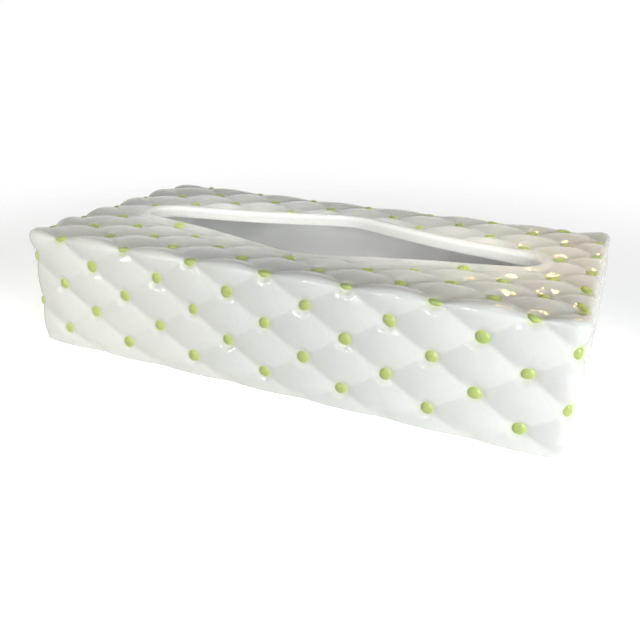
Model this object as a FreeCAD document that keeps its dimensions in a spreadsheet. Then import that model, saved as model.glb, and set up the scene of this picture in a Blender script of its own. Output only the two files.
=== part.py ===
# Tissue box cover: a slip-cast ceramic box, open below, with a quilted skin,
# a lens-shaped slot in its top and a raised enamel dot in every tuft.
# Millimetres. +Z is up, +X runs along the length, the front wall faces -Y.
# The origin is the middle of the base at the level the cover rests on.
import FreeCAD, Part
import math
import os

os.makedirs("parts", exist_ok=True)
document = FreeCAD.newDocument("tissue_box_cover")
Vector = FreeCAD.Vector
UP = Vector(0, 0, 1)

# Driving dimensions. The quilt is measured between its dots: the dot planes
# form a plain box, and every pillow swells outward from it.
DIMENSIONS = {
    "body_length": 260.8,
    "body_depth": 134.6,
    "body_height": 57.0,
    "pillow_swell": 2.6,
    "seam_swell": 0.9,
    "foot_swell": 1.2,
    "top_sag": 1.1,
    "right_rim_lean": 3.5,
    "back_rim_lean": 5.0,
    "upright_edge_reach": 6.0,
    "top_edge_reach": 3.0,
    "wall_thickness": 4.6,
    "top_thickness": 4.8,
    "cavity_corner_radius": 7.0,
    "foot_overrun": 2.0,
    "slot_end_margin": 23.4,
    "slot_side_margin": 28.8,
    "slot_forward_shift": 0.5,
    "tuft_push": 5.0,
    "slot_overrun": 12.0,
    "slot_fade_reach": 7.0,
    "lip_inner_reach": 2.6,
    "lip_outer_reach": 0.9,
    "lip_crown": 1.5,
    "lip_drop": 0.9,
    "dot_radius": 2.7,
    "dot_rise": 1.2,
    "face_seat_depth": 0.45,
    "upright_seat_depth": 1.2,
    "rim_seat_depth": 2.1,
    "seat_gap": 0.02,
    "seat_overrun": 4.0,
}

sheet = document.addObject("Spreadsheet::Sheet", "Dimensions")
for row_number, (name, value) in enumerate(DIMENSIONS.items(), start=1):
    sheet.set("A%d" % row_number, name)
    sheet.set("B%d" % row_number, str(value))
    sheet.setAlias("B%d" % row_number, name)
document.recompute()


def size(name):
    """The value that the sheet holds under this alias."""
    return float(getattr(sheet, name))


def bind(item, **expressions):
    """Tie properties of a document object to cells of the sheet."""
    for path, expression in expressions.items():
        item.setExpression(path.replace("__", "."), expression)


# The lattice of tufts. Half steps count along the length (14), along the
# depth (10) and around the walls (48). A tuft sits where column plus row is
# odd, so a pillow is centred where the sum is even.
LONG_STEPS = 14
DEEP_STEPS = 10
AROUND = 2 * (LONG_STEPS + DEEP_STEPS)
WALL_ROWS = 5
CORNERS = (0, LONG_STEPS, LONG_STEPS + DEEP_STEPS, 2 * LONG_STEPS + DEEP_STEPS)
GRID = 4

half_long = size("body_length") / 2
half_deep = size("body_depth") / 2
top_level = size("body_height")
column_step = size("body_length") / LONG_STEPS

# The rows as shares: of the depth, counted back from the front edge, and of the
# height, counted down from the top edge to the base line.
DEPTH_SHARES = (0.0, 0.108, 0.188, 0.275, 0.37, 0.48, 0.582, 0.68, 0.778, 0.877, 1.0)
DROP_SHARES = (0.0, 0.209, 0.418, 0.625, 0.832, 1.0)


def along_shares(shares, row):
    """The share at a row, which may lie between two whole rows."""
    below = min(max(int(math.floor(row)), 0), len(shares) - 2)
    return shares[below] + (shares[below + 1] - shares[below]) * (row - below)


def depth_of_row(row):
    """Distance from the front edge to a row of tufts on the top."""
    return size("body_depth") * along_shares(DEPTH_SHARES, row)


def drop_of_row(row):
    """Distance from the top plane down to a row of tufts on a wall."""
    return size("body_height") * along_shares(DROP_SHARES, row)


def rolled(distance):
    """Roll a path over the top edge.

    Positive distance runs down the wall, negative runs in across the top.
    Returns how far the point lies inward, how far below the top plane, and
    the share of the wall's direction in the surface normal.
    """
    reach = size("top_edge_reach")
    if distance >= reach:
        return 0.0, distance, 1.0
    if distance <= -reach:
        return -distance, 0.0, 0.0
    share = (distance + reach) / (2 * reach)
    return reach * (1 - share) ** 2, reach * share ** 2, share


def side_of(column):
    """The wall that a column belongs to and its place along that wall."""
    column = column % AROUND
    if column <= CORNERS[1]:
        return 0, column * column_step
    if column <= CORNERS[2]:
        return 1, depth_of_row(column - CORNERS[1])
    if column <= CORNERS[3]:
        return 2, (column - CORNERS[2]) * column_step
    return 3, size("body_depth") - depth_of_row(AROUND - column)


def plan_point(column, inset):
    """Point and outward direction on the plan outline with eased corners."""
    side, along = side_of(column)
    half_x = half_long - inset
    half_y = half_deep - inset
    corner_points = (
        Vector(-half_x, -half_y, 0),
        Vector(half_x, -half_y, 0),
        Vector(half_x, half_y, 0),
        Vector(-half_x, half_y, 0),
    )
    outward = (Vector(0, -1, 0), Vector(1, 0, 0), Vector(0, 1, 0), Vector(-1, 0, 0))
    lengths = (size("body_length"), size("body_depth"))
    length = lengths[side % 2]
    start = corner_points[side]
    end = corner_points[(side + 1) % 4]
    direction = (end - start).normalize()
    reach = size("upright_edge_reach")
    middle = (start + end) * 0.5
    if reach <= along <= length - reach:
        return middle + direction * (along - length / 2), outward[side]
    if along < reach:
        corner = start
        signed = along
        before, after = (side + 3) % 4, side
    else:
        corner = end
        signed = along - length
        before, after = side, (side + 1) % 4
    run_in = (corner_points[(before + 1) % 4] - corner_points[before]).normalize()
    run_out = (corner_points[(after + 1) % 4] - corner_points[after]).normalize()
    share = (signed + reach) / (2 * reach)
    point = (
        (corner - run_in * reach) * (1 - share) ** 2
        + corner * (2 * share * (1 - share))
        + (corner + run_out * reach) * share ** 2
    )
    normal = outward[before] * (1 - share) + outward[after] * share
    return point, normal.normalize()


def rim_lean(column, row):
    """How far the rim tufts of the right end and the back sit in on the top.

    Full for whole tufts of the rim, and easing to nothing at the corners and
    one row above and below the rim.
    """
    side = side_of(column)[0]
    column = column % AROUND
    leans = (0.0, size("right_rim_lean"), size("back_rim_lean"), 0.0)
    ends = CORNERS[1:] + (AROUND,)
    from_corner = min(column - CORNERS[side], ends[side] - column, 1)
    return leans[side] * from_corner * max(0.0, 1 - abs(row))


def wall_point(column, row):
    """Point of the dot box on a wall, with its outward direction."""
    inset, drop, wall_share = rolled(drop_of_row(row) - rim_lean(column, row))
    point, outward = plan_point(column, inset)
    normal = outward * wall_share + UP * (1 - wall_share)
    return Vector(point.x, point.y, top_level - drop), normal.normalize()


# Tufts beside the slot were set further forward by hand: the share of the push
# that each of them got, by column and row.
PUSH_SHARES = {
    (3, 4): 0.88,
    (11, 4): 0.88,
    (4, 3): 0.5,
    (10, 3): 0.45,
    (7, 2): 0.35,
    (9, 2): 0.15,
    (5, 8): 0.5,
}


def push_forward(column, row):
    """How far the lattice is pushed forward here, easing to nothing at the next tufts."""
    push = 0.0
    for (tuft_column, tuft_row), share in PUSH_SHARES.items():
        step_column = column - tuft_column
        step_row = row - tuft_row
        rising = max(0.0, 1 - abs(step_column + step_row) / 2)
        falling = max(0.0, 1 - abs(step_column - step_row) / 2)
        push += size("tuft_push") * share * rising * falling
    return push


def top_point(column, row):
    """Point of the dot box on the top, with its outward direction."""
    along = column * column_step
    across = depth_of_row(row) - push_forward(column, row)
    along -= rim_lean(CORNERS[1] + row, LONG_STEPS - column) if 0 < row < DEEP_STEPS else 0.0
    across -= rim_lean(CORNERS[3] - column, DEEP_STEPS - row) if 0 < column < LONG_STEPS else 0.0
    sign_x = -1 if along < half_long else 1
    sign_y = -1 if across < half_deep else 1
    edge_x = min(along, size("body_length") - along)
    edge_y = min(across, size("body_depth") - across)
    inset_x, drop_x, share_x = rolled(-edge_x)
    inset_y, drop_y, share_y = rolled(-edge_y)
    sag = size("top_sag") * math.sin(math.pi * column / LONG_STEPS)
    sag *= math.sin(math.pi * row / DEEP_STEPS)
    normal = UP * (1 - share_x) * (1 - share_y)
    normal += Vector(sign_x * share_x, sign_y * share_y, 0)
    return (
        Vector(
            sign_x * (half_long - inset_x),
            sign_y * (half_deep - inset_y),
            top_level - drop_x - drop_y - sag,
        ),
        normal.normalize(),
    )


def rim_on_top(column, inward):
    """Lattice place on the top that lies inward of a column of the rim."""
    column = column % AROUND
    if column <= CORNERS[1]:
        return column, inward
    if column <= CORNERS[2]:
        return LONG_STEPS - inward, column - CORNERS[1]
    if column <= CORNERS[3]:
        return CORNERS[3] - column, DEEP_STEPS - inward
    return inward, AROUND - column


def skin_point(column, row):
    """Point of the dot box: below the rim for row > 0, on the top for row < 0."""
    if row >= 0:
        return wall_point(column, row)
    return top_point(*rim_on_top(column, -row))


# The slot outline, one quarter of it, as shares of its half length and half
# width. The widest place is a soft point, and the flanks curve in to round ends.
SLOT_QUARTER_SHARES = (
    (0.0, 1.0),
    (0.115, 0.935),
    (0.215, 0.84),
    (0.35, 0.71),
    (0.52, 0.565),
    (0.70, 0.455),
    (0.85, 0.365),
    (0.95, 0.26),
    (0.99, 0.13),
)


def slot_outline():
    """The closed slot curve, laid out in the base plane."""
    half_length = half_long - size("slot_end_margin")
    half_width = half_deep - size("slot_side_margin")
    quarter = []
    for share_x, share_y in SLOT_QUARTER_SHARES:
        quarter.append((share_x * half_length, share_y * half_width))
    points = [(half_length, 0)]
    points += reversed(quarter)
    points += [(-x, y) for x, y in quarter[1:]]
    points += [(-half_length, 0)]
    points += [(-x, -y) for x, y in reversed(quarter)]
    points += [(x, -y) for x, y in quarter[1:]]
    curve = Part.BSplineCurve()
    curve.interpolate(
        Points=[Vector(x, y - size("slot_forward_shift"), 0) for x, y in points],
        PeriodicFlag=True,
    )
    return curve


slot_curve = slot_outline()
slot_edge = slot_curve.toShape()
slot_face = Part.Face(Part.Wire([slot_edge]))


def slot_fade(point):
    """Share of the swell left near the slot, where the quilt flattens out."""
    flat = Vector(point.x, point.y, 0)
    if slot_face.isInside(flat, size("seat_gap"), True):
        return 0.0
    distance = slot_edge.distToShape(Part.Vertex(flat))[0]
    share = min(1.0, distance / size("slot_fade_reach"))
    return share * share * (3 - 2 * share)


def patch(grid):
    """One skin face of the quilt from a square grid of control points."""
    degree = len(grid) - 1
    surface = Part.BSplineSurface()
    ends = [degree + 1, degree + 1]
    surface.buildFromPolesMultsKnots(
        grid, ends, ends, [0.0, 1.0], [0.0, 1.0], False, False, degree, degree
    )
    return surface.toShape()


def swollen(place, swell):
    """A control point pushed outward from the dot box."""
    point, normal = place
    return point + normal * swell


def diamond(centre_column, centre_row, place):
    """A four-sided pillow between four tufts."""
    grid = []
    for i in range(GRID + 1):
        line = []
        for j in range(GRID + 1):
            column = centre_column + (i - j) / GRID
            row = centre_row + (i + j - GRID) / GRID
            inner = 0 < i < GRID and 0 < j < GRID
            tuft = i in (0, GRID) and j in (0, GRID)
            swell = size("pillow_swell") if inner else size("seam_swell")
            point = place(column, row)
            line.append(swollen(point, 0.0 if tuft else swell * slot_fade(point[0])))
        grid.append(line)
    return grid


# On a top corner's pillow: the rows that its middle line passes, and how far its
# last row but one leans out toward the corner.
CORNER_ROW_SHARES = (1.0, 0.66, 0.22)
CORNER_LEAN_SHARE = 0.30


def between(start, end, share):
    """Lattice place at a share of the way between two others."""
    return (
        start[0] + (end[0] - start[0]) * share,
        start[1] + (end[1] - start[1]) * share,
    )


def seam_point(place):
    """A control point on a seam, a little above the dot box."""
    return swollen(place, size("seam_swell"))


def corner_pillow(corner):
    """The three-sided pillow that wraps a top corner."""
    lowest = wall_point(corner, 1)[0]
    start = rim_on_top(corner + 1, 0)
    end = rim_on_top(corner - 1, 0)
    corner_place = rim_on_top(corner, 0)
    grid = [[lowest] * (GRID + 1)]
    for i in range(1, GRID):
        side_row = 1 - i / GRID
        line = []
        for j in range(GRID + 1):
            side_share = abs(2 * j / GRID - 1)
            column = corner + (1 - 2 * j / GRID) * i / GRID
            inner = 0 < j < GRID
            if inner and i == GRID - 1:
                on_line = between(start, end, j / GRID)
                place = top_point(*between(on_line, corner_place, CORNER_LEAN_SHARE))
            elif inner:
                row = side_row * side_share + CORNER_ROW_SHARES[i] * (1 - side_share)
                place = wall_point(column, row)
            else:
                place = wall_point(column, side_row)
            line.append(swollen(place, size("pillow_swell")) if inner else seam_point(place))
        grid.append(line)
    top_seam = [top_point(*between(start, end, j / GRID)) for j in range(1, GRID)]
    first, last = top_point(*start)[0], top_point(*end)[0]
    grid.append([first] + [seam_point(place) for place in top_seam] + [last])
    return grid


def foot_pillow(column):
    """The half pillow between a tuft of the lowest row and the base line."""
    apex = wall_point(column, WALL_ROWS - 1)[0]
    grid = [[apex] * (GRID + 1)]
    for i in range(1, GRID + 1):
        line = []
        for j in range(GRID + 1):
            place = wall_point(column + (2 * j / GRID - 1) * i / GRID, WALL_ROWS - 1 + i / GRID)
            if 0 < j < GRID:
                line.append(swollen(place, size("foot_swell")))
            else:
                line.append(seam_point(place) if i < GRID else place[0])
        grid.append(line)
    return grid


skin_faces = []
foot_edges = []
for column in range(AROUND):
    for row in range(WALL_ROWS):
        if (column + row) % 2 == 0 and not (row == 0 and column in CORNERS):
            skin_faces.append(patch(diamond(column, row, skin_point)))
    if column % 2 == 1:
        foot = patch(foot_pillow(column))
        skin_faces.append(foot)
        foot_edges += [edge for edge in foot.Edges if edge.BoundBox.ZMax < size("seat_gap")]
for corner in CORNERS:
    skin_faces.append(patch(corner_pillow(corner)))
for column in range(1, LONG_STEPS):
    for row in range(1, DEEP_STEPS):
        if (column + row) % 2 == 0:
            skin_faces.append(patch(diamond(column, row, top_point)))

foot_wire = Part.Wire(Part.sortEdges(foot_edges)[0])
skin_faces.append(Part.Face(foot_wire))
skin = Part.Compound(skin_faces)
skin.sewShape()
quilted_block = document.addObject("Part::Feature", "quilted_block")
quilted_block.Shape = Part.Solid(skin.Shells[0])

# The hollow below: straight sides with eased upright corners, open at the foot.
cavity_core = document.addObject("Part::Box", "cavity_core")
bind(
    cavity_core,
    Length="Dimensions.body_length - 2 * Dimensions.wall_thickness",
    Width="Dimensions.body_depth - 2 * Dimensions.wall_thickness",
    Height="Dimensions.body_height - Dimensions.top_thickness + Dimensions.foot_overrun",
    Placement__Base__x="-(Dimensions.body_length / 2 - Dimensions.wall_thickness)",
    Placement__Base__y="-(Dimensions.body_depth / 2 - Dimensions.wall_thickness)",
    Placement__Base__z="-Dimensions.foot_overrun",
)
document.recompute()
cavity = document.addObject("Part::Fillet", "cavity")
cavity.Base = cavity_core
corner_radius = size("cavity_corner_radius")
upright_edges = []
for index, edge in enumerate(cavity_core.Shape.Edges, start=1):
    if edge.BoundBox.ZLength > corner_radius:
        upright_edges.append((index, corner_radius, corner_radius))
cavity.Edges = upright_edges
hollow_block = document.addObject("Part::Cut", "hollow_block")
hollow_block.Base = quilted_block
hollow_block.Tool = cavity

# The slot through the top.
ceiling_level = top_level - size("top_thickness")
slot_wire = document.addObject("Part::Feature", "slot_wire")
slot_wire.Shape = Part.Wire([slot_edge])
bind(slot_wire, Placement__Base__z="Dimensions.body_height - Dimensions.slot_overrun")
slot_cutter = document.addObject("Part::Extrusion", "slot_cutter")
slot_cutter.Base = slot_wire
slot_cutter.DirMode = "Custom"
slot_cutter.Dir = UP
slot_cutter.Solid = True
bind(slot_cutter, LengthFwd="2 * Dimensions.slot_overrun")
slotted_block = document.addObject("Part::Cut", "slotted_block")
slotted_block.Base = hollow_block
slotted_block.Tool = slot_cutter

# The lip is a rounded band around the slot. Its section runs from the foot of
# its outer side over the crown to the foot of its inner side: the share of the
# reach to each side, and the share of the height from ceiling to crown.
LIP_SECTION_SHARES = (
    (1.0, 0.0),
    (1.0, 0.35),
    (1.0, 0.75),
    (0.75, 1.04),
    (-0.1, 1.1),
    (-0.72, 1.04),
    (-1.0, 0.78),
    (-1.0, 0.45),
    (-1.0, 0.16),
    (-0.8, 0.0),
)
LIP_STATIONS = 96
CUBIC = 3


def lip_band():
    """A closed ring swept around the slot curve, flat underneath."""
    foot_level = ceiling_level - size("lip_drop")
    crown_height = size("top_thickness") + size("lip_drop") - size("top_sag") + size("lip_crown")
    span = slot_curve.LastParameter - slot_curve.FirstParameter
    grid = []
    for index in range(LIP_STATIONS):
        parameter = slot_curve.FirstParameter + span * index / LIP_STATIONS
        point = slot_curve.value(parameter)
        tangent = slot_curve.tangent(parameter)[0]
        outward = Vector(tangent.y, -tangent.x, 0)
        line = []
        for side_share, height_share in LIP_SECTION_SHARES:
            reach = size("lip_outer_reach") if side_share > 0 else size("lip_inner_reach")
            level = foot_level + crown_height * height_share
            line.append(point + outward * (reach * side_share) + UP * level)
        grid.append(line)
    inner_knots = len(LIP_SECTION_SHARES) - CUBIC
    surface = Part.BSplineSurface()
    surface.buildFromPolesMultsKnots(
        grid,
        [1] * (LIP_STATIONS + 1),
        [CUBIC + 1] + [1] * (inner_knots - 1) + [CUBIC + 1],
        [float(knot) for knot in range(LIP_STATIONS + 1)],
        [float(knot) for knot in range(inner_knots + 1)],
        True,
        False,
        CUBIC,
        CUBIC,
    )
    side = surface.toShape()
    loops = []
    for edge in side.Edges:
        if edge.BoundBox.ZLength < size("seat_gap") and edge.isClosed():
            loops.append(Part.Face(Part.Wire([edge])))
    loops.sort(key=lambda face: face.Area)
    underside = loops[-1].cut(loops[0])
    band = Part.Compound([side] + underside.Faces)
    band.sewShape()
    return Part.Solid(band.Shells[0])


slot_lip = document.addObject("Part::Feature", "slot_lip")
slot_lip.Shape = lip_band()
lipped_block = document.addObject("Part::Fuse", "lipped_block")
lipped_block.Base = slotted_block
lipped_block.Tool = slot_lip
document.recompute()

# Tufts on the top by row: the columns that carry a dot. The slot leaves the
# middle of the rows around it bare.
TOP_TUFTS = {
    1: (2, 4, 6, 8, 10, 12),
    2: (1, 3, 5, 7, 9, 11, 13),
    3: (2, 4, 10, 12),
    4: (1, 3, 11, 13),
    6: (1, 13),
    7: (2, 12),
    8: (1, 3, 5, 9, 11, 13),
    9: (2, 4, 6, 8, 10, 12),
}
WALL_NAMES = ("front_wall_dots", "right_end_dots", "back_wall_dots", "left_end_dots")

# One enamel bead per kind of place: a short round plug with a domed head. Its
# plug fills the seat in the glaze, deeper where the skin falls away around it.
# The dome's sphere radius follows from the rise and the radius of the dot.
SEATS = ("face", "upright", "rim")
DOME = "(Dimensions.dot_radius ^ 2 + Dimensions.dot_rise ^ 2) / (2 * Dimensions.dot_rise)"
beads = {}
for kind in SEATS:
    depth = "Dimensions.%s_seat_depth" % kind
    plug = document.addObject("Part::Cylinder", kind + "_plug")
    bind(
        plug,
        Radius="Dimensions.dot_radius",
        Height="%s + Dimensions.dot_rise" % depth,
        Placement__Base__z="-" + depth,
    )
    dome = document.addObject("Part::Sphere", kind + "_dome")
    bind(dome, Radius=DOME, Placement__Base__z="Dimensions.dot_rise - " + DOME)
    bead = document.addObject("Part::Common", kind + "_bead")
    bead.Base = plug
    bead.Tool = dome
    beads[kind] = bead
document.recompute()

# Where each dot sits, by node: the tuft's point and outward direction.
tufts = {}


def add_tuft(node, kind, place):
    """Note one tuft under the node that its dot belongs to."""
    tufts.setdefault(node, []).append((kind, place))


for column in range(AROUND):
    if column % 2 == 1:
        add_tuft("rim_dots", "rim", wall_point(column, 0))
    for row in range(1, WALL_ROWS):
        if (column + row) % 2 == 0:
            continue
        if column in CORNERS:
            add_tuft("corner_dots", "upright", wall_point(column, row))
        else:
            add_tuft(WALL_NAMES[side_of(column)[0]], "face", wall_point(column, row))
for row, columns in TOP_TUFTS.items():
    node = "top_front_dots" if row < DEEP_STEPS / 2 else "top_back_dots"
    for column in columns:
        add_tuft(node, "face", top_point(column, row))

# The seats are round pockets that the plugs of the beads fill.
seat_radius = size("dot_radius") + size("seat_gap")
pockets = []
for places in tufts.values():
    for kind, (point, outward) in places:
        depth = size(kind + "_seat_depth")
        height = depth + size("seat_overrun")
        pockets.append(Part.makeCylinder(seat_radius, height, point - outward * depth, outward))
seat_pockets = document.addObject("Part::Feature", "seat_pockets")
seat_pockets.Shape = Part.makeCompound(pockets)

ceramic_shell = document.addObject("Part::Cut", "ceramic_shell")
ceramic_shell.Base = lipped_block
ceramic_shell.Tool = seat_pockets

nodes = [ceramic_shell]
for name, places in tufts.items():
    dots = []
    for kind, (point, outward) in places:
        dot = beads[kind].Shape.copy()
        turn = FreeCAD.Rotation(UP, outward)
        dot.Placement = FreeCAD.Placement(point, turn)
        dots.append(dot)
    group = document.addObject("Part::Feature", name)
    group.Shape = Part.makeCompound(dots)
    group.Placement = FreeCAD.Placement()
    nodes.append(group)

document.recompute()
for item in document.Objects:
    if "Invalid" in item.State or "Error" in item.State:
        raise RuntimeError("%s is not built: %s" % (item.Label, item.State))
for node in nodes:
    node.Label = node.Name
    shape = node.Shape
    if shape.isNull() or not shape.isValid():
        raise RuntimeError("%s has no valid shape" % node.Label)
    shape.exportStep("parts/%s.step" % node.Label)
    print(node.Label, "solids", len(shape.Solids), "volume", round(shape.Volume, 1))
print("size", ceramic_shell.Shape.BoundBox)
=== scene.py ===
# %% [markdown]
# # A quilted ceramic tissue box cover
# This lesson dresses a white glazed cover that is set over a flat carton of
# tissues. The real one is poured as a single casting, so here too it is one
# closed mesh, and only the enamel dots are pieces of their own.
# All lengths are metres, +Z is up and the front wall faces -Y.

import math
from collections import defaultdict

import bmesh
import bpy
import numpy as np
from mathutils import Matrix, Vector


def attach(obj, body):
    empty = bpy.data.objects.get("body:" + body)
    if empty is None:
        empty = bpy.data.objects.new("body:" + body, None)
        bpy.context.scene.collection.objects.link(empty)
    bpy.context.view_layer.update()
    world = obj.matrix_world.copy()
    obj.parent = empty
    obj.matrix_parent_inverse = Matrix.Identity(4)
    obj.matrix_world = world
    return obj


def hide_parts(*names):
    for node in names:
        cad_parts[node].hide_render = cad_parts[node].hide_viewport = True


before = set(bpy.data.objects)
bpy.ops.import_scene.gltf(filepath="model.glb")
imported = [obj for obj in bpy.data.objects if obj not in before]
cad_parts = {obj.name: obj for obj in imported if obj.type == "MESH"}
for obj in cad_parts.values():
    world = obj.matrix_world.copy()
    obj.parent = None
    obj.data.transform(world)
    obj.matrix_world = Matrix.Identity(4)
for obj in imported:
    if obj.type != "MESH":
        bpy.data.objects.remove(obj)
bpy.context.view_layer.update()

# %% [markdown]
# ## The lattice of tufts
# The quilt is drawn on a lattice of tufts, as an upholsterer chalks one on
# cloth. Columns count half steps around the walls, rows count down from the
# top edge, and a tuft sits wherever column plus row is odd. The tufts lie on a
# plain box, the dot box, and each pillow swells outward from it. Keeping the
# quilt in these counts means that one height formula serves every face.

# %% Sizes of the dot box
LENGTH = 0.2608
DEPTH = 0.1346
HEIGHT = 0.057
UPRIGHT_REACH = 0.006
LEAST_REACH = 0.0012
REACH_LOSS = 0.4
RIM_REACH = 0.003
WALL = 0.0046
ROOF = 0.0048
CEILING = HEIGHT - ROOF
SAG = 0.0011
LONG_STEPS = 14
DEEP_STEPS = 10
AROUND = 2 * (LONG_STEPS + DEEP_STEPS)
CORNERS = (0, LONG_STEPS, LONG_STEPS + DEEP_STEPS, AROUND - DEEP_STEPS)
COLUMN_STEP = LENGTH / LONG_STEPS
DEPTH_SHARES = (0, 0.108, 0.188, 0.275, 0.37, 0.48, 0.582, 0.68, 0.778, 0.877, 1)
DROP_SHARES = (0, 0.209, 0.418, 0.625, 0.832, 1)
DEPTH_STOPS = DEPTH * np.array(DEPTH_SHARES)
DROP_STOPS = HEIGHT * np.array(DROP_SHARES)
RIM_LEANS = np.array([0.0, 0.0035, 0.0050, 0.0])


def row_on(stops, distance):
    """The row at a distance along a scale of rows."""
    return np.interp(distance, stops, np.arange(len(stops)))


def place_on(stops, row):
    """The distance of a row along a scale of rows."""
    return np.interp(row, np.arange(len(stops)), stops)


def step_on(stops, row):
    """The length of the step that a row lies in."""
    index = np.clip(np.floor(row).astype(int), 0, len(stops) - 2)
    return np.diff(stops)[index]


print("columns around", AROUND, "each", round(COLUMN_STEP * 1000, 2), "mm on the long walls")

# %% [markdown]
# ## Walking around the box
# Every loop of the mesh follows the outline of the box in plan, set in by some
# distance. The real edges are soft, so each upright edge is a small curve: the
# outline runs from one wall to the next on a quadratic arc. The function takes
# whole arrays, which is far quicker in Blender than asking point by point.

# %% The outline in plan
WAYS = np.array([(1, 0), (0, 1), (-1, 0), (0, -1)], dtype=float)
OUTS = np.array([(0, -1), (1, 0), (0, 1), (-1, 0)], dtype=float)
SIGNS = np.array([(-1, -1), (1, -1), (1, 1), (-1, 1)], dtype=float)


def side_at(column):
    """The wall that a column belongs to: front, right end, back, left end."""
    return np.searchsorted(CORNERS[1:], np.mod(column, AROUND), side="right")


def plan(column, inset, reach=UPRIGHT_REACH):
    """Point and outward direction on the outline, for arrays of columns."""
    column = np.mod(np.asarray(column, dtype=float), AROUND)
    inset = np.broadcast_to(np.asarray(inset, dtype=float), column.shape)
    side = side_at(column)
    along = np.choose(
        side,
        [
            column / LONG_STEPS,
            place_on(DEPTH_STOPS, column - CORNERS[1]) / DEPTH,
            (column - CORNERS[2]) / LONG_STEPS,
            1 - place_on(DEPTH_STOPS, AROUND - column) / DEPTH,
        ],
    )
    half = np.stack([LENGTH / 2 - inset, DEPTH / 2 - inset], -1)
    run = 2 * np.where(side % 2 == 0, half[..., 0], half[..., 1])
    along = along * run
    start = SIGNS[side] * half
    end = SIGNS[(side + 1) % 4] * half
    reach = np.maximum(reach - REACH_LOSS * inset, LEAST_REACH)
    near_start = along < reach
    near_end = along > run - reach
    point = start + WAYS[side] * along[..., None]
    corner = np.where(near_start[..., None], start, end)
    before = np.where(near_start, (side + 3) % 4, side)
    after = np.where(near_start, side, (side + 1) % 4)
    signed = np.where(near_start, along, along - run)
    share = ((signed + reach) / (2 * reach))[..., None]
    eased = corner - WAYS[before] * (reach[..., None] * (1 - share) ** 2)
    eased = eased + WAYS[after] * (reach[..., None] * share**2)
    eased_out = OUTS[before] * (1 - share) + OUTS[after] * share
    eased_out /= np.linalg.norm(eased_out, axis=-1, keepdims=True)
    at_corner = (near_start | near_end)[..., None]
    return np.where(at_corner, eased, point), np.where(at_corner, eased_out, OUTS[side])


corner_point, _ = plan(np.array([0.0]), 0.0)
print("front left edge at", np.round(corner_point * 1000, 2), "mm")

# %% [markdown]
# ## Where the tufts stray
# Hands set the tufts, so the lattice isn't even. Along the right end and the
# back, the tufts of the rim sit a few millimetres in on the top, which leaves a
# plain band of glaze outside them. Beside the slot some tufts were pushed
# forward. Both strays ease away over one step, and both are undone here when a
# place on the cover is turned into lattice counts.

# %% From a place to lattice counts
# Each entry is the column and the row of a tuft, and how far forward it sits.
PUSHES = {(3, 4): 0.0044, (11, 4): 0.0044, (4, 3): 0.0025, (10, 3): 0.00225}
PUSHES |= {(7, 2): 0.00175, (9, 2): 0.00075, (5, 8): 0.0025}
PUSH_ROUNDS = 5
SHY = 0.01


def pushed(column, row):
    """How far the tufts beside the slot were set forward."""
    push = np.zeros(np.broadcast(column, row).shape)
    for (tuft_column, tuft_row), reach in PUSHES.items():
        one = np.clip(1 - np.abs(column - tuft_column + row - tuft_row) / 2, 0, 1)
        other = np.clip(1 - np.abs(column - tuft_column - row + tuft_row) / 2, 0, 1)
        push += reach * one * other
    return push


def rim_lean(column):
    """How far in on the top the rim's tufts sit at a column around the walls."""
    column = np.mod(column, AROUND)
    side = side_at(column)
    starts = np.array(CORNERS)[side]
    ends = np.array(CORNERS[1:] + (AROUND,))[side]
    return RIM_LEANS[side] * np.minimum(np.minimum(column - starts, ends - column), 1)


def back_lean(column):
    """How far in the tufts of the back rim sit at a column of the top."""
    return rim_lean(CORNERS[3] - np.clip(column, SHY, LONG_STEPS - SHY))


def end_lean(row):
    """How far in the tufts of the right rim sit at a row of the top."""
    return rim_lean(CORNERS[1] + np.clip(row, SHY, DEEP_STEPS - SHY))


def wall_lattice(column, down):
    """Row and length of its step at a distance down a wall."""
    lean = rim_lean(column)
    first = DROP_STOPS[1] + lean
    upper = (down + lean) / first
    row = np.where(upper < 1, upper, row_on(DROP_STOPS, down))
    return row, np.where(upper < 1, first, step_on(DROP_STOPS, row))


def leaned(inward, lean, step):
    """Counts inward from a rim at a distance from the edge; below 0 it is the wall's."""
    outside = (inward - lean) / (DROP_STOPS[1] + lean)
    within = np.where(inward < step, (inward - lean) / (step - lean), 1)
    return np.where(inward < lean, outside, within)


def top_lattice(flat):
    """Column, row and length of the row's step at a flat place on the top."""
    column = (flat[..., 0] + LENGTH / 2) / COLUMN_STEP
    across = flat[..., 1] + DEPTH / 2
    from_back = DEPTH - across
    from_end = LENGTH / 2 - flat[..., 0]
    row = row_on(DEPTH_STOPS, across)
    for _ in range(PUSH_ROUNDS):
        row = row_on(DEPTH_STOPS, across + pushed(column, row))
    last_step = DEPTH - DEPTH_STOPS[-2]
    behind = leaned(from_back, back_lean(column), last_step)
    beside = leaned(from_end, end_lean(row), COLUMN_STEP)
    back_row = np.where(from_back < last_step, DEEP_STEPS - behind, row)
    right_column = np.where(from_end < COLUMN_STEP, LONG_STEPS - beside, column)
    return right_column, back_row, step_on(DEPTH_STOPS, row)


rims = np.array([[LENGTH / 2 - RIM_LEANS[1], 0.0], [0.0, DEPTH / 2 - RIM_LEANS[2]]])
column, row, _ = top_lattice(rims)
print("rim tufts: right end at column", round(column[0], 2), "back at row", round(row[1], 2))

# %% [markdown]
# ## The height of the quilt
# Two things shape a tufted skin. Along the lines between the tufts the cloth is
# drawn down into a soft valley, and at each tuft it is pinned deepest. The
# height here is a product of two sines, one per diagonal, mixed with a rounder
# term that is lowest only at the tufts, so the valleys rise between them as
# they do on the real cover. A small seat around each tuft stays flat for its
# dot. A little slow waviness keeps the pillows from being copies of each other.

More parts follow.
